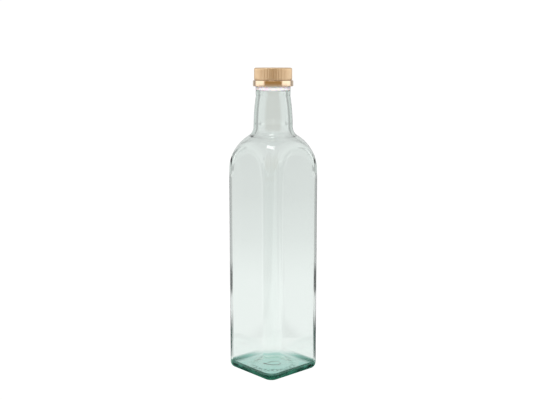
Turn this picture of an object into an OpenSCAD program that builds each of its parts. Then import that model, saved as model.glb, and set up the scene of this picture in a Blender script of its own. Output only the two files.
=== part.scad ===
// Square half-litre edible-oil bottle with a screw-on pouring closure.
// Millimetres, +Z up. The origin is the centre of the base, on the surface the bottle stands on,
// and the four flat panels face +X, -X, +Y and -Y.

/* [Glass body] */
// Width of the square body across two opposite panels
body_side = 57.5; // [56:0.5:60]
// Radius of the four upright corners, outside
corner_r = 8.8; // [7.8:0.1:9.8]
// Radius of the heel, where the panels turn into the base
heel_r = 5; // [3:0.5:6]
// Thickness of the panels
wall = 3; // [2.4:0.1:3.4]
// Radius of the upright corners, inside
inner_corner_r = 4.2; // [4.1:0.1:6]
// Thickness of the base beside the heel
floor_t = 4.2; // [4:0.1:7]
// Depth of the push-up under the base
push_up = 1.2; // [0.5:0.1:2]
// Radius of the push-up under the base
push_up_r = 20; // [16:0.5:21]

/* [Shoulder and neck] */
// Height at which the upright corners run into the shoulder dome
shoulder_z = 175.8; // [150:0.2:176.6]
// Radius of the dome's arc
dome_r = 35.4; // [33:0.1:36.4]
// Radius of the hollow curve between the dome and the neck
neck_hollow_r = 8.7; // [6:0.1:10]
// Outer radius of the neck at its foot
neck_foot_r = 16.35; // [16:0.05:17]
// Outer radius of the neck just under the bead
neck_top_r = 14.3; // [14:0.05:14.45]
// Inner radius of the neck at its foot
neck_foot_bore_r = 13.6; // [12:0.1:14]
// Inner radius of the neck just under the bead
neck_top_bore_r = 11.2; // [10:0.1:11.8]

/* [Closure] */
// Height of the white collar's lower edge, which sits on the glass bead
collar_z = 239; // [236:0.5:244]
// Outer radius of the white collar
collar_r = 14.6; // [14.5:0.05:14.7]
// Outer radius of the tamper band
band_r = 16.85; // [16.5:0.05:17.3]
// Height of the tamper band
band_h = 4.9; // [4.5:0.1:5]
// Outer radius of the cap over its flutes
cap_r = 15.75; // [15.5:0.05:15.9]
// Height of the fluted cap
cap_h = 10.2; // [10.1:0.1:11]
// Number of flutes round the cap
flutes = 72; // [48:6:90]
// Depth of the flutes
flute_depth = 0.35; // [0.2:0.05:0.4]
// Radius of the cap's upper edge
cap_edge_r = 1.3; // [0.8:0.1:1.8]

/* [Screw thread] */
// Rise of the cap in one turn
lead = 3; // [2.8:0.1:3.2]
// Turns of thread on the pourer and in the cap
thread_turns = 1.25; // [1:0.25:1.25]
// Radius of the pourer under its thread
thread_root_r = 12.9; // [12.85:0.05:12.95]
// Height of the thread ridge
thread_depth = 0.7; // [0.6:0.05:0.7]

/* [Hidden] */
$fn = 96;

// Running clearance and the gap between pieces that sit together
fit_gap = 0.05;
rest_gap = 0.1;
// Chamfer on the edges of the moulded pieces
chamfer = 0.3;

// Glass body
half = body_side / 2;
inner_half = half - wall;
corner_reach = (half - corner_r) * sqrt(2) + corner_r;
inner_reach = (inner_half - inner_corner_r) * sqrt(2) + inner_corner_r;
inner_heel_r = 3.2;
push_up_flank = 3;

// Shoulder: the dome starts a little below shoulder_z and a little wider than the corners,
// so that it crosses them at an angle
dome_margin = 0.25;
dome_base_r = corner_reach + dome_margin;
dome_base_z = shoulder_z - sqrt(dome_r * dome_r - pow(dome_r - dome_margin, 2));
inner_dome_base_r = inner_reach + dome_margin;

// Bead and finish, up to the mouth
bead_z = collar_z - 4.3;
bead_r = 14.5;
bead_edge = 0.8;
groove_r = neck_top_r - 0.15;
groove_h = 0.5;
finish_r = 11.45;
lock_r = 12.05;
lock_z = collar_z + 4.3;
lock_h = 1.2;
mouth_z = collar_z + 11.7;
mouth_r = 9.1;
bore_end_z = collar_z + 2.9;
lip_edge = 0.6;

// Pourer
collar_h = 4.2;
flange_r = 15.35;
flange_z = collar_z + collar_h;
flange_h = 1.4;
pilot_r = 13.7;
pilot_h = 1.4;
pilot_z = flange_z + flange_h;
core_z = pilot_z + pilot_h;
deck_z = mouth_z + fit_gap;
deck_t = 1.15;
deck_top_z = deck_z + deck_t;
plug_r = mouth_r - fit_gap;
plug_bore_r = 8;
plug_z = mouth_z - 5.5;
plug_lead_in = 0.8;

// Spout and flow insert
spout_r = 7;
spout_bore_r = 6.2;
spout_tail_r = plug_bore_r - fit_gap;
spout_tail_z = plug_z + 0.4;
spout_flange_r = 9.5;
spout_flange_t = 0.8;
lip_r = 8.4;
spout_top_z = collar_z + 15.9;
lip_h = 1.6;
insert_r = spout_bore_r - fit_gap;
insert_z = spout_tail_z + 0.6;
insert_t = 1.4;
insert_h = 3;
insert_wall = 0.8;
pour_hole_r = 3.3;
vent_hole_r = 0.7;
vent_ring_r = 4.4;
vent_holes = 6;

// Tamper band
band_z = collar_z + 3.4;
band_bore_r = 15.55;
band_lip_r = 14.85;
band_lip_h = 0.7;
band_edge = 0.35;

// Cap
cap_z = band_z + band_h + rest_gap;
cap_top_z = cap_z + cap_h;
shell_bore_r = 14.75;
shell_top_t = 0.55;
inner_r = shell_bore_r - 0.02;
inner_top_z = cap_top_z - shell_top_t - fit_gap;
inner_top_t = 1.15;
inner_edge = 0.9;
inner_bore_r = pilot_r + fit_gap;
inner_foot_z = pilot_z + 0.4;
liner_top_z = inner_top_z - inner_top_t;
liner_z = spout_top_z + rest_gap;
liner_r = 12.7;
keeper_r = 13;
keeper_h = 0.7;

// Thread: the cap's ridge runs half a lead below the pourer's
thread_step = 10;
ridge_root_w = 1.3;
ridge_crest_w = 0.6;
embed = 0.15;
male_z = core_z + 1.3;
female_start = 120;

// Points along an arc from angle a0 to angle a1, in the plane of a profile
function arc(cx, cy, r, a0, a1, n, first = 0) =
    [for (i = [first:n]) let (a = a0 + (a1 - a0) * i / n) [cx + r * cos(a), cy + r * sin(a)]];

// Turned outline of a shoulder and neck: up the arc of a dome, round a hollow arc, then up the neck,
// which is a long arc that starts upright and foot_r wide, and is top_r wide under the bead
function shoulder_and_neck(base_r, dome, hollow, foot_r, top_r) =
    let (
        dome_x = base_r - dome,
        apart = dome + hollow,
        across = foot_r + hollow - dome_x,
        foot_z = dome_base_z + sqrt(apart * apart - across * across),
        touch = acos(across / apart),
        rise = bead_z - foot_z,
        neck_arc_r = (rise * rise + pow(foot_r - top_r, 2)) / (2 * (foot_r - top_r)),
        lean = asin(rise / neck_arc_r)
    )
    concat(
        arc(dome_x, dome_base_z, dome, 0, touch, 12),
        arc(foot_r + hollow, foot_z, hollow, 180 + touch, 180, 7, first = 1),
        arc(foot_r - neck_arc_r, foot_z, neck_arc_r, 0, lean, 5, first = 1));

// Outline from the axis to the wall of an upright face with a rounded foot
function footed_outline(reach, foot_r, height) =
    concat([[0, 0]], arc(reach - foot_r, foot_r, foot_r, -90, 0, 6), [[reach, height], [0, height]]);

// A square post with round upright corners and a rounded foot, standing on z = 0
module soft_post(side, round_r, foot_r, height) {
    flat = side - 2 * round_r;
    reach = side / 2;
    for (turn = [0, 90])
        rotate([0, 0, turn])
            rotate([90, 0, 0])
                linear_extrude(flat, center = true)
                    for (flip = [0, 1])
                        mirror([flip, 0])
                            polygon(footed_outline(reach, foot_r, height));
    for (quarter = [0:3])
        rotate([0, 0, 90 * quarter])
            translate([flat / 2, flat / 2, 0])
                rotate_extrude(angle = 90)
                    polygon(footed_outline(round_r, foot_r, height));
}

// Shoulder dome, neck and finish as one turned shape
module turned_outside() {
    rotate_extrude()
        polygon(concat(
            [[0, -1], [dome_base_r, -1]],
            shoulder_and_neck(dome_base_r, dome_r, neck_hollow_r, neck_foot_r, neck_top_r),
            [[groove_r, bead_z + groove_h / 2], [groove_r, bead_z + groove_h]],
            [[bead_r - bead_edge / 2, bead_z + groove_h], [bead_r, bead_z + groove_h + bead_edge / 2]],
            [[bead_r, collar_z - bead_edge], [bead_r - bead_edge / 2, collar_z - fit_gap]],
            [[finish_r, collar_z - fit_gap], [finish_r, lock_z - lock_h / 2]],
            [[lock_r, lock_z], [lock_r, lock_z + lock_h / 2], [finish_r, lock_z + lock_h]],
            [[finish_r, mouth_z - lip_edge], [finish_r - lip_edge, mouth_z], [0, mouth_z]]));
}

// Inside of the shoulder, neck and mouth
module turned_inside() {
    rotate_extrude()
        polygon(concat(
            [[0, 0], [inner_dome_base_r, 0]],
            shoulder_and_neck(inner_dome_base_r, dome_r - wall, neck_hollow_r + wall,
                              neck_foot_bore_r, neck_top_bore_r),
            [[mouth_r, bore_end_z], [mouth_r, mouth_z + 1], [0, mouth_z + 1]]));
}

module glass_bottle() {
    color([0.80, 0.90, 0.86, 0.45])
        difference() {
            intersection() {
                soft_post(body_side, corner_r, heel_r, mouth_z + 1);
                turned_outside();
            }
            intersection() {
                translate([0, 0, floor_t])
                    soft_post(2 * inner_half, inner_corner_r, inner_heel_r, mouth_z + 2);
                turned_inside();
            }
            rotate_extrude()
                polygon([[0, -1], [push_up_r, -1], [push_up_r, 0],
                         [push_up_r - push_up_flank, push_up], [0, push_up]]);
        }
}

// A ridge wound round the axis on a cylinder of radius from_r, reaching to_r, tapering off at its ends
module ridge(from_r, to_r, low_z, start_angle) {
    rings = round(360 * thread_turns / thread_step);
    run_out = 4;
    function reach(i) = from_r + (to_r - from_r) * max(0.1, min(1, min(i, rings - i) / run_out));
    function corner(i, r, dz) =
        let (a = start_angle + i * thread_step)
        [r * cos(a), r * sin(a), low_z + lead * i * thread_step / 360 + dz];
    function ring(i) =
        [corner(i, from_r, -ridge_root_w / 2), corner(i, reach(i), -ridge_crest_w / 2),
         corner(i, reach(i), ridge_crest_w / 2), corner(i, from_r, ridge_root_w / 2)];
    points = [for (i = [0:rings]) each ring(i)];
    sides = [for (i = [0:rings - 1]) for (k = [0:3])
        let (a = 4 * i + k, b = 4 * i + (k + 1) % 4)
        each [[a, b, a + 4], [b, b + 4, a + 4]]];
    last = 4 * rings;
    ends = [[0, 2, 1], [0, 3, 2], [last, last + 1, last + 2], [last, last + 2, last + 3]];
    faces = concat(sides, ends);
    // The order of the corners turns over when the ridge points at the axis
    polyhedron(points, to_r > from_r ? faces : [for (f = faces) [f[0], f[2], f[1]]]);
}

module pourer_body() {
    color([0.95, 0.95, 0.97])
        union() {
            rotate_extrude()
                polygon([
                    [bead_r - bead_edge, collar_z], [collar_r - chamfer, collar_z],
                    [collar_r, collar_z + chamfer], [collar_r, flange_z],
                    [flange_r, flange_z], [flange_r, pilot_z - chamfer],
                    [flange_r - chamfer, pilot_z], [pilot_r, pilot_z], [pilot_r, core_z],
                    [thread_root_r, core_z], [thread_root_r, deck_top_z - chamfer],
                    [thread_root_r - chamfer, deck_top_z],
                    [plug_bore_r, deck_top_z], [plug_bore_r, plug_z],
                    [plug_r - plug_lead_in, plug_z], [plug_r, plug_z + 2 * plug_lead_in], [plug_r, deck_z],
                    [finish_r + fit_gap, deck_z], [finish_r + fit_gap, lock_z + lock_h + fit_gap],
                    [lock_r + fit_gap, lock_z + lock_h / 2 + fit_gap], [lock_r + fit_gap, lock_z],
                    [finish_r + fit_gap, lock_z - lock_h / 2 - fit_gap], [finish_r + fit_gap, collar_z]]);
            ridge(thread_root_r - embed, thread_root_r + thread_depth, male_z, 0);
        }
}

module pour_spout() {
    color([0.93, 0.93, 0.95])
        rotate_extrude()
            polygon(concat(
                [[spout_bore_r, spout_tail_z], [spout_tail_r - chamfer, spout_tail_z],
                 [spout_tail_r, spout_tail_z + 2 * chamfer], [spout_tail_r, deck_top_z],
                 [spout_flange_r, deck_top_z], [spout_flange_r, deck_top_z + spout_flange_t],
                 [spout_r, deck_top_z + spout_flange_t]],
                arc(lip_r, spout_top_z - chamfer - lip_h, lip_r - spout_r, 180, 100, 4),
                [[lip_r, spout_top_z - chamfer], [lip_r - chamfer, spout_top_z],
                 [spout_bore_r + 2 * chamfer, spout_top_z], [spout_bore_r, spout_top_z - 2 * chamfer]]));
}

module flow_insert() {
    color([0.90, 0.91, 0.93])
        difference() {
            rotate_extrude()
                polygon([
                    [pour_hole_r, insert_z], [insert_r - chamfer, insert_z], [insert_r, insert_z + chamfer],
                    [insert_r, insert_z + insert_h], [insert_r - insert_wall, insert_z + insert_h],
                    [insert_r - insert_wall, insert_z + insert_t], [pour_hole_r, insert_z + insert_t]]);
            for (hole = [0:vent_holes - 1])
                rotate([0, 0, 360 * hole / vent_holes])
                    translate([vent_ring_r, 0, insert_z - 1])
                        cylinder(h = insert_t + 2, r = vent_hole_r);
        }
}

module tamper_band() {
    top_z = band_z + band_h;
    color([0.86, 0.66, 0.38])
        rotate_extrude()
            polygon(concat(
                [[band_lip_r, band_z]],
                arc(band_r - band_edge, band_z + band_edge, band_edge, -90, 0, 3),
                arc(band_r - band_edge, top_z - band_edge, band_edge, 0, 90, 3),
                [[band_lip_r, top_z], [band_lip_r, top_z - band_lip_h],
                 [band_bore_r, top_z - band_lip_h - chamfer], [band_bore_r, band_z + band_lip_h],
                 [band_lip_r, band_z + band_lip_h]]));
}

module cap_shell() {
    root_r = cap_r - flute_depth;
    fluted = [for (i = [0:2 * flutes - 1])
        let (a = 180 * i / flutes, r = i % 2 == 0 ? cap_r : root_r) [r * cos(a), r * sin(a)]];
    color([0.86, 0.66, 0.38])
        difference() {
            intersection() {
                translate([0, 0, cap_z])
                    linear_extrude(cap_h)
                        polygon(fluted);
                rotate_extrude()
                    polygon(concat(
                        [[0, cap_z - 1], [cap_r + 1, cap_z - 1], [cap_r + 1, cap_top_z - cap_edge_r]],
                        arc(cap_r + 0.05 - cap_edge_r, cap_top_z - cap_edge_r, cap_edge_r, 0, 90, 5),
                        [[0, cap_top_z]]));
            }
            translate([0, 0, cap_z - 1])
                cylinder(h = cap_h + 1 - shell_top_t, r = shell_bore_r);
        }
}

module cap_inner() {
    keeper_z = liner_z - rest_gap - keeper_h;
    color([0.94, 0.94, 0.96])
        union() {
            rotate_extrude()
                polygon([
                    [0, liner_top_z], [inner_bore_r, liner_top_z], [inner_bore_r, keeper_z + keeper_h],
                    [keeper_r, keeper_z + keeper_h], [keeper_r, keeper_z + keeper_h / 2],
                    [inner_bore_r, keeper_z], [inner_bore_r, inner_foot_z + chamfer],
                    [inner_bore_r + chamfer, inner_foot_z], [inner_r, inner_foot_z],
                    [inner_r, inner_top_z - inner_edge], [inner_r - inner_edge, inner_top_z],
                    [0, inner_top_z]]);
            ridge(inner_bore_r + embed, inner_bore_r - thread_depth,
                  male_z - lead / 2 + lead * female_start / 360, female_start);
        }
}

module cap_liner() {
    color([0.97, 0.97, 0.98])
        translate([0, 0, liner_z])
            cylinder(h = liner_top_z - liner_z, r = liner_r);
}

glass_bottle();
pourer_body();
pour_spout();
flow_insert();
tamper_band();
cap_shell();
cap_inner();
cap_liner();
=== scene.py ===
"""A square half-litre edible-oil bottle of pale green glass with a gold screw closure.

The glass, the fluted cap and the tamper band are lofted here as fine meshes. The pourer, spout,
regulator, inner cap and liner are the CAD nodes with their own materials.
"""

import math

import bpy
import numpy as np
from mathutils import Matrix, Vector


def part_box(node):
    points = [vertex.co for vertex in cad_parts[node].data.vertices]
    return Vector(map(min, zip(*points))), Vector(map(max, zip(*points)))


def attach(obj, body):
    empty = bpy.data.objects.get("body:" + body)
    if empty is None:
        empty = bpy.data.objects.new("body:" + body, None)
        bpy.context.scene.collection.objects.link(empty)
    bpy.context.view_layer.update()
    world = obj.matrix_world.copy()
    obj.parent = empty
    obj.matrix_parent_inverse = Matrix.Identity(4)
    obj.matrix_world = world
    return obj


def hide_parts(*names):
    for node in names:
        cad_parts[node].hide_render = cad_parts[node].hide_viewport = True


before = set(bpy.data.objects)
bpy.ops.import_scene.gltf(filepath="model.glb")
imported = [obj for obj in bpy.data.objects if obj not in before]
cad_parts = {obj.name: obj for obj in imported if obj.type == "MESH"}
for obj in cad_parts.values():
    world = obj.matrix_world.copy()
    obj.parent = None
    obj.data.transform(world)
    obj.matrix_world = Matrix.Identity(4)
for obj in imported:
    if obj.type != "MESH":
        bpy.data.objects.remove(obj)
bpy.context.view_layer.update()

MM = 0.001

# Where the CAD nodes lie
_, glass_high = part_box("glass_bottle")
pourer_low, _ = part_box("pourer_body")
band_low, band_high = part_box("tamper_band")
shell_low, shell_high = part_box("cap_shell")

# ---------------------------------------------------------------- shape of the glass
half_side = glass_high.x
mouth_z = glass_high.z
collar_z = pourer_low.z

# Body, shoulder and neck; the crease is the rounding where the dome meets the flat sides
corner_r = 8.8 * MM
heel_r = 5 * MM
shoulder_z = 175.8 * MM
dome_r = 35.4 * MM
dome_margin = 0.25 * MM
neck_foot_r = 16.35 * MM
neck_top_r = 14.3 * MM
neck_hollow_r = 8.7 * MM
crease = 0.5 * MM

# Bead under the collar, and the finish with its locking ring inside the closure
bead_z = collar_z - 4.3 * MM
bead_r = 14.5 * MM
bead_rise = 1.8 * MM
bead_edge = 0.4 * MM
seat_gap = 0.1 * MM
finish_r = 11.45 * MM
lock_r = 12.05 * MM
lock_z = collar_z + 4.3 * MM
lock_step = 0.6 * MM
lip_edge = 0.6 * MM

# Inside: the corners gather glass unevenly, so their radii differ
wall = 3.0 * MM
inner_corner_r = 4.25 * MM
inner_corner_left_r = 4.6 * MM
inner_corner_wide_r = 8.4 * MM
inner_crease = 1.5 * MM
inner_heel_r = 3.2 * MM
heel_corner_r = 0.3 * MM
floor_corner_r = 0.5 * MM
floor_z = 4.2 * MM
floor_rise = 0.8 * MM
neck_foot_bore_r = 12.7 * MM
neck_top_bore_r = 10.6 * MM
mouth_r = 9.1 * MM
mouth_foot_z = collar_z + 2.9 * MM
mouth_edge = 0.5 * MM

# Waves of the inner wall: count round the bottle, radians per metre of height, start and share
wall_ripple = 0.07 * MM
wall_waves = [(2, 31, 0.7, 1.0), (3, -47, 2.1, 0.7), (5, 60, 4.0, 0.5)]

# Under the base: the push-up, a shallow ring in its middle and a ring of short bars
push_up = 1.2 * MM
push_up_r = 21.5 * MM
push_up_flank = 12 * MM
button_r = 4.2 * MM
button_width = 0.9 * MM
button_depth = 0.25 * MM
bar_count = 28
bars_r = 16.2 * MM
bars_half_width = 1.4 * MM
bars_depth = 0.9 * MM


def column_angles(half, round_r, flat_steps, corner_steps):
    """Angles round the bottle, closer together where the upright corners bend."""
    flat_end = math.atan2(half - round_r, half)
    angles = []
    for quarter in range(4):
        middle = quarter * math.pi / 2
        angles += [middle - flat_end + 2 * flat_end * i / flat_steps for i in range(flat_steps)]
        bend = math.pi / 2 - 2 * flat_end
        angles += [middle + flat_end + bend * i / corner_steps for i in range(corner_steps)]
    return np.array(angles)


def square_reach(angles, half, round_r):
    """Distance from the axis to the side of a square with rounded corners."""
    fold = np.abs((angles + math.pi / 4) % (math.pi / 2) - math.pi / 4)
    flat = half / np.cos(fold)
    centre = half - round_r
    across = centre * (np.cos(fold) - np.sin(fold))
    bend = centre * (np.cos(fold) + np.sin(fold)) + np.sqrt(np.maximum(round_r**2 - across**2, 0))
    return np.where(half * np.tan(fold) <= centre, flat, bend)


def soft_min(a, b, width):
    """The smaller of two distances, with the corner between them rounded."""
    low = np.minimum(a, b)
    return low - width * np.log(np.exp((low - a) / width) + np.exp((low - b) / width))


def arc_points(cx, cz, radius, start, end, steps):
    """(radius, height) points along an arc of a turned profile, angles in radians."""
    turns = np.linspace(start, end, steps + 1)
    return [(cx + radius * math.cos(t), cz + radius * math.sin(t)) for t in turns]


def refine(points, longest):
    """Adds points along the straight stretches of a profile."""
    out = [points[0]]
    for (r0, z0), (r1, z1) in zip(points, points[1:]):
        count = max(1, math.ceil(math.hypot(r1 - r0, z1 - z0) / longest))
        out += [(r0 + (r1 - r0) * i / count, z0 + (z1 - z0) * i / count) for i in range(1, count + 1)]
    return out


def ripple(angles, z):
    """Slow unevenness of the glass, the same every run."""
    total = 0
    for turns, climb, start, share in wall_waves:
        total = total + share * np.sin(turns * angles + climb * z + start)
    return wall_ripple * total / sum(wave[-1] for wave in wall_waves)


def loft(name, rings, angles, closed_ends):
    """A mesh through rings given as (reach from the axis, height) at each angle.

    closed_ends holds the heights at which the first and last ring close on the axis; without it the
    last ring joins the first.
    """
    count = len(angles)
    points = []
    for reach, height in rings:
        reach = np.broadcast_to(reach, count)
        height = np.broadcast_to(height, count)
        points.append(np.stack([reach * np.cos(angles), reach * np.sin(angles), height], 1))
    verts = [tuple(v) for v in np.concatenate(points)]
    faces = []
    for i in range(len(rings) - 1 if closed_ends else len(rings)):
        a, b = i * count, (i + 1) % len(rings) * count
        faces += [(a + k, a + (k + 1) % count, b + (k + 1) % count, b + k) for k in range(count)]
    if closed_ends:
        for ring_start, height, first in ((0, closed_ends[0], True),
                                          ((len(rings) - 1) * count, closed_ends[1], False)):
            centre = len(verts)
            verts.append((0.0, 0.0, height))
            for k in range(count):
                here, after = ring_start + k, ring_start + (k + 1) % count
                faces.append((centre, after, here) if first else (centre, here, after))
    mesh = bpy.data.meshes.new(name)
    mesh.from_pydata(verts, [], faces)
    mesh.validate()
    mesh.shade_smooth()
    piece = bpy.data.objects.new(name, mesh)
    bpy.context.scene.collection.objects.link(piece)
    return piece


def shoulder_and_neck(base_r, base_z, dome, hollow, foot_r, top_r):
    """Turned outline up the arc of a dome, round a hollow arc and up the neck's long arc to the bead."""
    dome_x = base_r - dome
    across = foot_r + hollow - dome_x
    touch = math.acos(across / (dome + hollow))
    foot_z = base_z + (dome + hollow) * math.sin(touch)
    rise = bead_z - foot_z
    neck_arc_r = (rise**2 + (foot_r - top_r) ** 2) / (2 * (foot_r - top_r))
    lean = math.asin(rise / neck_arc_r)
    points = arc_points(dome_x, base_z, dome, 0, touch, 64)
    points += arc_points(foot_r + hollow, foot_z, hollow, math.pi + touch, math.pi, 24)[1:]
    points += arc_points(foot_r - neck_arc_r, foot_z, neck_arc_r, 0, lean, 16)[1:]
    return points


def outside_profile():
    """Height of the dome's foot, and the turned outside from there to the mouth."""
    corner_reach = (half_side - corner_r) * math.sqrt(2) + corner_r
    base_z = shoulder_z - math.sqrt(dome_r**2 - (dome_r - dome_margin) ** 2)
    points = shoulder_and_neck(corner_reach + dome_margin, base_z, dome_r, neck_hollow_r,
                               neck_foot_r, neck_top_r)
    # The bead swells out of the neck in a soft step and rounds over under the collar
    for share in np.linspace(0.1, 1, 10):
        swell = (1 - math.cos(math.pi * share)) / 2
        points.append((neck_top_r + (bead_r - neck_top_r) * swell, bead_z + bead_rise * share))
    points += arc_points(bead_r - bead_edge, collar_z - bead_edge - seat_gap, bead_edge, 0, math.pi / 2, 6)
    points += [(finish_r + 2 * seat_gap, collar_z - seat_gap), (finish_r, collar_z + seat_gap)]
    points += [(finish_r, lock_z - lock_step), (lock_r, lock_z), (lock_r, lock_z + lock_step)]
    points += [(finish_r, lock_z + 2 * lock_step), (finish_r, mouth_z - lip_edge)]
    points += arc_points(finish_r - lip_edge, mouth_z - lip_edge, lip_edge, math.pi / 8, math.pi / 2, 4)
    return base_z, points


def inside_profile(base_z):
    """Turned inside of the shoulder, neck and mouth, from the dome's foot to the mouth."""
    reach = (half_side - wall - inner_corner_r) * math.sqrt(2) + inner_corner_r + dome_margin
    points = shoulder_and_neck(reach, base_z, dome_r - wall, neck_hollow_r + wall,
                               neck_foot_bore_r, neck_top_bore_r)
    edge_z = mouth_z - mouth_edge
    straight = [points[-1], (neck_top_bore_r, collar_z), (mouth_r, mouth_foot_z), (mouth_r, edge_z)]
    points += refine(straight, 2 * MM)[1:]
    points += arc_points(mouth_r + mouth_edge, edge_z, mouth_edge, math.pi, math.pi / 2, 4)[1:]
    return points


def inner_corners(angles):
    """Radius of the inside corner at each angle: wide in the front and back corners."""
    narrow = np.where(np.sin(angles) < 0, inner_corner_left_r, inner_corner_r)
    return np.where(np.sin(angles) * np.cos(angles) < 0, inner_corner_wide_r, narrow)


def bar_relief(angles, reach):
    """Depth of the short bars under the base, unevenly spaced and strongest towards the front corner."""
    front = np.maximum(0, np.cos(angles + math.pi / 4)) ** 0.3
    wander = 1.5 * np.sin(9 * angles)
    strokes = front * np.maximum(0, np.sin(bar_count * angles + wander))
    ring = math.exp(-(((reach - bars_r) / bars_half_width) ** 4))
    return bars_depth * strokes * ring


def underside_rings(angles):
    """From the middle of the push-up out over the bearing ring."""
    rings = []
    for reach in np.linspace(1 * MM, push_up_r, 42):
        climb = min(1, (push_up_r - reach) / push_up_flank)
        lift = (1 - math.cos(math.pi * climb)) / 2
        button = button_depth * math.exp(-(((reach - button_r) / button_width) ** 2))
        rings.append((reach, (push_up - bar_relief(angles, reach)) * lift - button))
    foot = square_reach(angles, half_side - heel_r, corner_r - heel_r)
    for share in np.linspace(0.2, 1, 5):
        rings.append((push_up_r + (foot - push_up_r) * share, 0.0))
    return rings


def outside_rings(angles, base_z, outside):
    """Heel, panels, shoulder, neck and finish, upwards."""
    rings = []
    for turn in np.linspace(0, math.pi / 2, 11)[1:]:
        inset = heel_r * (1 - math.sin(turn))
        reach = square_reach(angles, half_side - inset, corner_r - inset)
        rings.append((reach, heel_r * (1 - math.cos(turn))))
    side = square_reach(angles, half_side, corner_r)
    for z in np.linspace(heel_r, base_z, 46)[1:-1]:
        rings.append((side, z))
    for reach, z in outside:
        rings.append((soft_min(side, np.full_like(side, reach), crease), z))
    return rings


def inside_rings(angles, base_z):
    """Mouth, neck, shoulder, panels, heel and floor, downwards."""
    rings = []
    half = half_side - wall
    rounding = inner_corners(angles)
    side = square_reach(angles, half, rounding)
    for reach, z in reversed(inside_profile(base_z)):
        bore = np.full_like(side, reach) + ripple(angles, z) * (z < collar_z)
        rings.append((soft_min(side, bore, inner_crease), z))
    for z in np.linspace(base_z, floor_z + inner_heel_r, 60)[1:]:
        rings.append((side + ripple(angles, z), z))
    for turn in np.linspace(math.pi / 2, 0, 11)[1:]:
        inset = inner_heel_r * (1 - math.sin(turn))
        reach = square_reach(angles, half - inset, np.maximum(rounding - inset, heel_corner_r))
        rings.append((reach, floor_z + inner_heel_r * (1 - math.cos(turn))))
    floor_edge = square_reach(angles, half - inner_heel_r, floor_corner_r)
    for share in np.linspace(0.93, 0.07, 14):
        rings.append((floor_edge * share, floor_z + floor_rise * (1 - share**2)))
    return rings


def make_glass():
    """The bottle as one closed skin, out from under the base, up the outside and down the inside."""
    angles = column_angles(half_side, corner_r, 24, 44)
    base_z, outside = outside_profile()
    rings = underside_rings(angles) + outside_rings(angles, base_z, outside)
    rings += inside_rings(angles, base_z)
    return loft("bottle_glass", rings, angles, (push_up, floor_z + floor_rise))


# ---------------------------------------------------------------- shape of the closure
def make_cap_shell():
    """The gold shell, with rounded flutes that run out into the upper edge."""
    flutes = 72
    count = flutes * 8
    depth = 0.22 * MM
    edge = 1.3 * MM
    skin = 0.55 * MM
    inner_r = 14.75 * MM
    inner_edge = 0.3 * MM
    chamfer = 0.15 * MM
    rim_step = 0.2 * MM
    run_in = 0.5 * MM
    top_inset = 0.1 * MM
    dish = 0.05 * MM
    # A hair inside the CAD's crests
    crest = shell_high.x - 0.01 * MM
    rim = crest - depth
    low_z, top_z = shell_low.z, shell_high.z
    under = top_z - skin
    angles = np.arange(count) * 2 * math.pi / count
    hollow = depth * (1 - np.cos(angles * flutes)) / 2
    # Inside, from the middle of the top down to the rim
    rings = [(0.1 * inner_r, under), (0.9 * inner_r, under), (inner_r - inner_edge, under),
             (inner_r, under - inner_edge), (inner_r, low_z), (inner_r + rim_step, low_z),
             (rim - chamfer, low_z), (rim, low_z + chamfer)]
    # Outside, from the rim up to the middle of the top, which is a hair hollow
    for z in np.linspace(low_z + 2 * chamfer, top_z - edge, 8):
        fade = min(1, (z - low_z) / run_in)
        rings.append((crest - depth * (1 - fade) - hollow * fade, z))
    for turn in np.linspace(0, math.pi / 2, 9)[1:]:
        fade = math.cos(turn)
        reach = crest - edge + (edge - hollow) * fade - top_inset * (1 - fade)
        rings.append((reach, top_z - edge + edge * math.sin(turn)))
    for share, sunk in ((0.93, 0.4), (0.9, 0.4), (0.86, 1), (0.5, 1), (0.1, 1)):
        rings.append((share * (crest - edge), top_z - sunk * dish))
    return loft("gold_cap", rings, angles, (under, top_z - dish))


def make_band():
    """The smooth tamper band: a short sleeve with a lip turned in above and below."""
    count = 160
    edge = 0.45 * MM
    chamfer = 0.15 * MM
    # A hair inside the CAD's band
    outer_r = band_high.x - 0.002 * MM
    lip_r = 14.85 * MM
    lip_h = 0.7 * MM
    bore_r = 15.55 * MM
    slope = 0.4 * MM
    low_z, top_z = band_low.z, band_high.z
    angles = np.arange(count) * 2 * math.pi / count
    points = [(lip_r, low_z + lip_h), (lip_r, low_z + chamfer), (lip_r + chamfer, low_z)]
    points += arc_points(outer_r - edge, low_z + edge, edge, -math.pi / 2, 0, 8)
    points += arc_points(outer_r - edge, top_z - edge, edge, 0, math.pi / 2, 8)
    points += [(lip_r + chamfer, top_z), (lip_r, top_z - chamfer), (lip_r, top_z - lip_h)]
    points += [(bore_r, top_z - lip_h - slope), (bore_r, low_z + lip_h)]
    return loft("gold_band", points, angles, None)


# ---------------------------------------------------------------- nodes
def feed(tree, value, socket):
    """Sets a socket to a number or a colour, or links another node's output to it."""
    if isinstance(value, bpy.types.NodeSocket):
        tree.links.new(value, socket)
    else:
        socket.default_value = value


def add(tree, kind, inputs, **settings):
    """A new node, with its settings made and its inputs fed by name or number."""
    node = tree.nodes.new(kind)
    for name, value in settings.items():
        setattr(node, name, value)
    for key, value in inputs.items():
        feed(tree, value, node.inputs[key])
    return node


def calculate(tree, operation, *values):
    """The result of a math node; each value is a number or another node's output."""
    return add(tree, "ShaderNodeMath", dict(enumerate(values)), operation=operation).outputs["Value"]


def dot_with(tree, source, direction):
    """How far a position lies along a direction."""
    node = add(tree, "ShaderNodeVectorMath", {0: source, 1: direction}, operation="DOT_PRODUCT")
    return node.outputs["Value"]


def square_distance(tree, position):
    """The larger of |x| and |y|."""
    split = add(tree, "ShaderNodeSeparateXYZ", {0: position})
    across, along = [calculate(tree, "ABSOLUTE", split.outputs[axis]) for axis in "XY"]
    return calculate(tree, "MAXIMUM", across, along)


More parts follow.
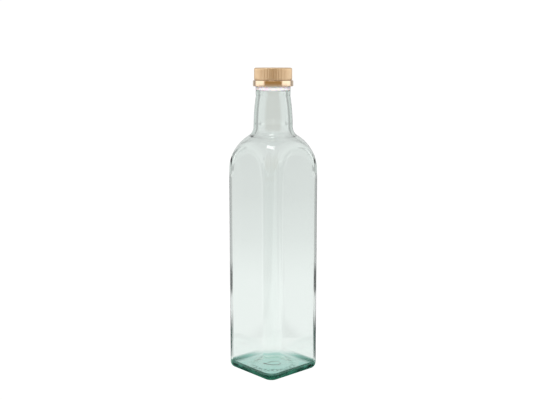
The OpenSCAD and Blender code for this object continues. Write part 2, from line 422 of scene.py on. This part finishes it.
def rescale(tree, source, low, high, new_low=0.0, new_high=1.0):
    """Maps the values low to high onto a new range, which it doesn't leave."""
    inputs = {"Value": source, "From Min": low, "From Max": high, "To Min": new_low, "To Max": new_high}
    return add(tree, "ShaderNodeMapRange", inputs).outputs["Result"]


def ramp(tree, source, stops):
    """A ramp of colours over the values of its stops; each is (value, grey or colour), lowest first."""
    low, high = stops[0][0], stops[-1][0]
    node = add(tree, "ShaderNodeValToRGB", {"Fac": rescale(tree, source, low, high)})
    elements = node.color_ramp.elements
    while len(elements) < len(stops):
        elements.new(0.5)
    for element, (value, colour) in zip(elements, stops):
        element.position = (value - low) / (high - low)
        element.color = (*colour, 1) if isinstance(colour, tuple) else (colour, colour, colour, 1)
    return node.outputs["Color"]


def combine(tree, way, factor, first, second):
    """Mixes two colours by a blend type and a factor."""
    inputs = {"Factor": factor, "A": first, "B": second}
    return add(tree, "ShaderNodeMix", inputs, data_type="RGBA", blend_type=way).outputs["Result"]


def noise(tree, scale, detail, stretch=(1, 1, 1)):
    """A noise in the object's own coordinates; scale is in waves per metre."""
    place = tree.nodes.new("ShaderNodeTexCoord").outputs["Object"]
    stretched = add(tree, "ShaderNodeMapping", {"Vector": place, "Scale": stretch}).outputs["Vector"]
    inputs = {"Vector": stretched, "Scale": scale, "Detail": detail}
    return add(tree, "ShaderNodeTexNoise", inputs).outputs["Fac"]


def spread(tree, source, low, high):
    """Maps a noise's usual 0.3 to 0.7 onto a range of values."""
    return rescale(tree, source, 0.3, 0.7, low, high)


def bump(tree, shader, height, strength, distance):
    """Gives a shader's surface a fine relief."""
    relief = add(tree, "ShaderNodeBump", {"Height": height, "Strength": strength, "Distance": distance})
    feed(tree, relief.outputs["Normal"], shader.inputs["Normal"])


# ---------------------------------------------------------------- materials
# Tint of the glass's outer surface by height, by the larger of |x| and |y|, and by distance towards the
# front corner, metres; the lightest of the three is used. The heel's deep green is partly the thick
# glass's own colour and partly painted shade for the dark contact shadow seen through the heel; it is
# strongest at the front corner and fades out before the back corner.
heel_green_and_shade = (0.033, 0.205, 0.15)
heel_by_height = [(0, 0.8), (0.0003, 0.8), (0.0010, heel_green_and_shade), (0.0056, heel_green_and_shade), (0.0070, 1.0),
                  (0.01, 1.0)]
heel_by_reach = [(0, 1.0), (0.0225, 1.0), (0.024, heel_green_and_shade), (0.03, heel_green_and_shade)]
heel_shade_by_side = [(-0.04, 1.0), (-0.026, 1.0), (-0.016, (0.3, 0.55, 0.5)), (-0.004, heel_green_and_shade),
                (0.04, heel_green_and_shade)]
heel_rough = 0.35


def new_material(name):
    """A material, its node tree and its shader."""
    material = bpy.data.materials.new(name)
    material.use_nodes = True
    tree = material.node_tree
    return material, tree, tree.nodes["Principled BSDF"]


def glass_material():
    """Pale green glass whose thick heel is painted a deep green: the thick glass's own colour and painted
    shade, fading out before the back corner.
    """
    material, tree, shader = new_material("green_glass")
    position = tree.nodes.new("ShaderNodeTexCoord").outputs["Object"]
    height = add(tree, "ShaderNodeSeparateXYZ", {0: position}).outputs["Z"]
    front = dot_with(tree, position, (math.sqrt(0.5), -math.sqrt(0.5), 0))
    heel = ramp(tree, height, heel_by_height)
    heel = combine(tree, "LIGHTEN", 1.0, heel, ramp(tree, square_distance(tree, position), heel_by_reach))
    heel = combine(tree, "LIGHTEN", 1.0, heel, ramp(tree, front, heel_shade_by_side))
    # The heel's tint, partly painted shade, colours both the glass and its reflections
    feed(tree, heel, shader.inputs["Base Color"])
    feed(tree, heel, shader.inputs["Specular Tint"])
    feed(tree, 1.52, shader.inputs["IOR"])
    feed(tree, 1, shader.inputs["Transmission Weight"])
    # The heel is rougher the deeper its tint, and everywhere there is a little smudge
    green = add(tree, "ShaderNodeSeparateColor", {"Color": heel}).outputs["Green"]
    roughest = spread(tree, noise(tree, 60, 3), heel_rough, heel_rough + 0.012)
    feed(tree, calculate(tree, "MULTIPLY_ADD", green, -heel_rough, roughest), shader.inputs["Roughness"])
    bump(tree, shader, noise(tree, 40, 1), 0.1, 0.2 * MM)
    absorb = add(tree, "ShaderNodeVolumeAbsorption", {"Color": (0.34, 0.76, 0.57, 1), "Density": 25})
    feed(tree, absorb.outputs["Volume"], tree.nodes["Material Output"].inputs["Volume"])
    return material


def gold_material(name, first, second, roughness, coat):
    """Lacquered metal mottled between two colours."""
    material, tree, shader = new_material(name)
    feed(tree, 1, shader.inputs["Metallic"])
    feed(tree, coat, shader.inputs["Coat Weight"])
    feed(tree, 0.05, shader.inputs["Coat Roughness"])
    feed(tree, 1.7, shader.inputs["Coat IOR"])
    mottle = combine(tree, "MIX", noise(tree, 350, 4), (*first, 1), (*second, 1))
    feed(tree, mottle, shader.inputs["Base Color"])
    grain = noise(tree, 900, 3, (1, 1, 0.3))
    feed(tree, spread(tree, grain, *roughness), shader.inputs["Roughness"])
    bump(tree, shader, grain, 0.12, 0.05 * MM)
    return material


def plastic_material(name, first, second, roughness, depth):
    """Moulded plastic mottled between two greys, that light enters to a depth."""
    material, tree, shader = new_material(name)
    mottle = combine(tree, "MIX", noise(tree, 220, 3), (*first, 1), (*second, 1))
    feed(tree, mottle, shader.inputs["Base Color"])
    feed(tree, 0.3, shader.inputs["Subsurface Weight"])
    feed(tree, depth, shader.inputs["Subsurface Scale"])
    grain = noise(tree, 1500, 2)
    feed(tree, spread(tree, grain, *roughness), shader.inputs["Roughness"])
    bump(tree, shader, grain, 0.08, 0.05 * MM)
    return material


def wear(piece, material):
    """Gives a piece its only material."""
    piece.data.materials.clear()
    piece.data.materials.append(material)


# ---------------------------------------------------------------- the bottle
glass = make_glass()
wear(glass, glass_material())
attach(glass, "bottle")
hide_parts("glass_bottle")

gold_cap = make_cap_shell()
wear(gold_cap, gold_material("gold_satin", (0.80, 0.58, 0.36), (0.86, 0.64, 0.41), (0.3, 0.44), coat=0.2))
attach(gold_cap, "cap")
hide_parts("cap_shell")

gold_band = make_band()
wear(gold_band, gold_material("gold_gloss", (0.84, 0.63, 0.43), (0.88, 0.68, 0.48), (0.14, 0.2), coat=0.6))
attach(gold_band, "band")
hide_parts("tamper_band")

white = plastic_material("white_plastic", (0.66, 0.63, 0.67), (0.71, 0.68, 0.72), (0.25, 0.4), 1.5 * MM)
insert = plastic_material("insert_plastic", (0.60, 0.61, 0.62), (0.66, 0.67, 0.68), (0.35, 0.5), 1 * MM)
foam = plastic_material("liner_foam", (0.72, 0.72, 0.72), (0.78, 0.78, 0.78), (0.55, 0.75), 0.8 * MM)
for node in ("pourer_body", "pour_spout", "cap_inner"):
    wear(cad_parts[node], white)
wear(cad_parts["flow_insert"], insert)
wear(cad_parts["cap_liner"], foam)

# ---------------------------------------------------------------- studio
# The lens, at the photograph's angle: places in metres, its focal length and sensor in millimetres
camera_azimuth = math.radians(47.8)
camera_distance = 0.722
camera_height = 0.265
camera_pitch = math.radians(9.28)
camera_turn = math.radians(0.04)
focal_length = 57.204
sensor_width = 36

# The floor's and the world's light, as the glass and the gold see it; places are in metres.
# Looked at directly, both are plain white paper.
floor_radius = 3
paper_white = 1.05
floor_by_distance = [(0.0, 0.99), (0.3, 0.99), (0.55, 0.89), (0.95, 0.826), (2.0, 0.805)]
floor_by_side = [(-1, 1.0), (0.02, 1.0), (0.15, 0.72), (1, 0.68)]

# A painted lighter stripe straight behind the front corner: its light by distance to the side, and how
# much wider it gets for each metre back
floor_stripe = [(0, 1.0), (0.004, 1.0), (0.009, 0.935), (0.1, 0.935)]
stripe_slope = 0.006

# Two dark patches of painted shade on the floor behind the bottle, left and right, standing in for dark
# cards; at the photograph's angle only the glass's edges look at them. Their lines are slopes against the
# distance back, and the light left on them goes by distance from the bottle.
card_start = 0.0385
card_start_slope = 0.052
card_inner_slope = 0.25
card_outer_slope = 0.33
card_lean = 0.08
card_start_blur = 0.004
card_blur = 0.012
card_painted_shade = (0.015, 0.06, 0.05)
card_light = [(0.0, card_painted_shade), (0.125, card_painted_shade), (0.15, 0.3), (0.19, 0.85), (0.25, 0.85),
              (0.28, 0.12), (0.36, 0.12), (0.42, 0.6), (2, 0.65)]

# Green shade painted under the base, by the larger of |x| and |y|
under_glass = (0.38, 0.66, 0.61)
floor_under = [(0, under_glass), (0.02, under_glass), (0.0235, 1.0), (0.1, 1.0)]

# Shade painted under the bars: how strong by distance from the middle and towards the lens, and its
# strokes by a noise
bar_shade = (0.1, 0.32, 0.27)
bars_place = [(0, 0.0), (0.0135, 0.0), (0.015, 1.0), (0.0185, 1.0), (0.02, 0.0), (0.1, 0.0)]
bars_by_side = [(-0.04, 0.0), (-0.001, 0.0), (0.006, 1.0), (0.04, 1.0)]
bars_strokes = [(0.3, bar_shade), (0.45, bar_shade), (0.52, 1.0), (0.7, 1.0)]

# Contact shadow painted under the heel: where it lies, and its light by distance towards the lens
under_rim = (0.04, 0.19, 0.14)
rim_place = [(0, 0.0), (0.02, 0.0), (0.0235, 1.0), (0.03, 1.0), (0.035, 0.0), (0.1, 0.0)]
rim_by_side = [(-0.04, 0.95), (-0.02, (0.6, 0.8, 0.77)), (0.0, (0.15, 0.4, 0.34)), (0.012, under_rim),
               (0.04, under_rim)]

# Half the world's brightness by the cosine of the angle from the lens's direction, and how far the
# overhead light takes over by the height of the direction
warm_room = (0.19, 0.125, 0.05)
world_by_side = [(-1, 0.36), (-0.82, 0.36), (-0.78, 0.2), (-0.55, 0.2), (-0.5, 0.36), (-0.42, 0.36),
                 (-0.36, 0.7), (0.58, 0.7), (0.66, warm_room), (1, warm_room)]
world_by_height = [(-1, 0.0), (0.45, 0.0), (0.75, 1.0), (1, 1.0)]
overhead_light = 0.32


def toward_camera(elevation=0.0):
    """Unit vector from the bottle towards the lens's side of the room."""
    flat = math.cos(elevation)
    return (flat * math.sin(camera_azimuth), -flat * math.cos(camera_azimuth), math.sin(elevation))


def beside_camera():
    """Unit vector to the right as the lens sees it."""
    return (math.cos(camera_azimuth), math.sin(camera_azimuth), 0)


def white_behind(tree, kind, strength, lit, surface):
    """Direct views get plain white paper; the glass and the gold get the light that lit gives."""
    paper = add(tree, kind, {"Color": (paper_white, paper_white, paper_white, 1)})
    glow = add(tree, kind, {"Color": lit, "Strength": strength})
    direct = tree.nodes.new("ShaderNodeLightPath").outputs["Is Camera Ray"]
    either = add(tree, "ShaderNodeMixShader", {0: direct, 1: glow.outputs[0], 2: paper.outputs[0]})
    feed(tree, either.outputs["Shader"], surface)


def painted_card_mask(tree, side, back):
    """1 on the two painted dark patches (the cards), 0 elsewhere on the floor.

    A card is where |side| is over card_start + card_start_slope * back and over card_inner_slope * back,
    and back is over card_outer_slope * |side| - card_lean * side.
    """
    away = calculate(tree, "ABSOLUTE", side)
    start = calculate(tree, "MULTIPLY_ADD", back, -card_start_slope, away)
    inner = calculate(tree, "MULTIPLY_ADD", back, -card_inner_slope, away)
    outer = calculate(tree, "MULTIPLY_ADD", away, -card_outer_slope, back)
    leaning = calculate(tree, "MULTIPLY_ADD", side, card_lean, outer)
    mask = rescale(tree, start, card_start, card_start + card_start_blur)
    for edge in (inner, leaning):
        mask = calculate(tree, "MULTIPLY", mask, rescale(tree, edge, -card_blur / 2, card_blur / 2))
    return mask


def floor_material():
    """White paper, dimmer far away and on the lens's side, with painted dark patches for cards, a painted
    lighter stripe and the painted shades of the base.
    """
    material, tree, shader = new_material("paper_floor")
    tree.nodes.remove(shader)
    position = tree.nodes.new("ShaderNodeNewGeometry").outputs["Position"]
    distance = add(tree, "ShaderNodeVectorMath", {0: position}, operation="LENGTH").outputs["Value"]
    square = square_distance(tree, position)
    along = dot_with(tree, position, toward_camera())
    back = dot_with(tree, position, [-v for v in toward_camera()])
    side = dot_with(tree, position, beside_camera())
    stripe = calculate(tree, "MULTIPLY_ADD", along, stripe_slope, calculate(tree, "ABSOLUTE", side))

    lit = ramp(tree, distance, floor_by_distance)
    for factor, shade in (
        (1.0, ramp(tree, along, floor_by_side)),
        # Painted shade: the two dark patches that stand in for cards
        (painted_card_mask(tree, side, back), ramp(tree, distance, card_light)),
        (1.0, ramp(tree, stripe, floor_stripe)),
        (1.0, ramp(tree, square, floor_under)),
    ):
        lit = combine(tree, "MULTIPLY", factor, lit, shade)
    strokes = ramp(tree, noise(tree, 420, 1), bars_strokes)
    barred = combine(tree, "MULTIPLY", ramp(tree, distance, bars_place), lit, strokes)
    lit = combine(tree, "MIX", ramp(tree, along, bars_by_side), lit, barred)
    lit = combine(tree, "MULTIPLY", ramp(tree, square, rim_place), lit, ramp(tree, along, rim_by_side))
    white_behind(tree, "ShaderNodeEmission", 1.0, lit, tree.nodes["Material Output"].inputs["Surface"])
    return material


def make_floor():
    """A round sheet of paper that glows, lighting the bottle with the painted light of floor_material."""
    corners = 96
    turns = [2 * math.pi * k / corners for k in range(corners)]
    verts = [(floor_radius * math.cos(t), floor_radius * math.sin(t), 0) for t in turns]
    mesh = bpy.data.meshes.new("floor")
    mesh.from_pydata(verts, [], [tuple(range(corners))])
    floor = bpy.data.objects.new("floor", mesh)
    bpy.context.scene.collection.objects.link(floor)
    wear(floor, floor_material())


def make_camera():
    """The lens that took the photograph, as fitted to the bottle's edges."""
    data = bpy.data.cameras.new("camera")
    data.sensor_width = sensor_width
    data.lens = focal_length
    camera = bpy.data.objects.new("camera", data)
    bpy.context.scene.collection.objects.link(camera)
    camera.location = camera_distance * Vector(toward_camera())
    camera.location.z = camera_height
    camera.rotation_euler = (math.pi / 2 - camera_pitch, 0, camera_azimuth + camera_turn)
    bpy.context.scene.camera = camera


def make_world():
    """A white studio: bright to both sides, darker patches behind, and a dim warm room behind the lens."""
    world = bpy.data.worlds.new("studio")
    bpy.context.scene.world = world
    world.use_nodes = True
    tree = world.node_tree
    tree.nodes.remove(tree.nodes["Background"])
    direction = tree.nodes.new("ShaderNodeTexCoord").outputs["Generated"]
    height = add(tree, "ShaderNodeSeparateXYZ", {0: direction}).outputs["Z"]
    around = ramp(tree, dot_with(tree, direction, toward_camera()), world_by_side)
    roof = (overhead_light, overhead_light, overhead_light, 1)
    lit = combine(tree, "MIX", ramp(tree, height, world_by_height), around, roof)
    white_behind(tree, "ShaderNodeBackground", 2.0, lit, tree.nodes["World Output"].inputs["Surface"])


def make_lamp(name, elevation, distance, left, width, height, power):
    """A soft rectangular lamp above the lens's side of the room, aimed at the shoulder."""
    data = bpy.data.lights.new(name, "AREA")
    data.shape = "RECTANGLE"
    data.size = width
    data.size_y = height
    data.energy = power
    lamp = bpy.data.objects.new(name, data)
    bpy.context.scene.collection.objects.link(lamp)
    aim = Vector((0, 0, shoulder_z))
    lamp.location = aim + distance * Vector(toward_camera(math.radians(elevation)))
    lamp.location -= left * Vector(beside_camera())
    lamp.rotation_euler = (aim - lamp.location).to_track_quat("-Z", "Y").to_euler()
    return lamp


def make_lamps():
    """A small lamp overhead that the gold mirrors, and a broad one that only dull surfaces see."""
    make_lamp("softbox", elevation=76, distance=1.3, left=0.12, width=0.4, height=0.2, power=1.2)
    fill = make_lamp("fill", elevation=25, distance=1.6, left=0, width=1.2, height=0.8, power=30)
    fill.visible_glossy = False
    fill.visible_transmission = False


make_floor()
make_camera()
make_world()
make_lamps()

scene = bpy.context.scene
scene.view_settings.view_transform = "Standard"
scene.cycles.max_bounces = 32
scene.cycles.transmission_bounces = 32
scene.cycles.transparent_max_bounces = 16
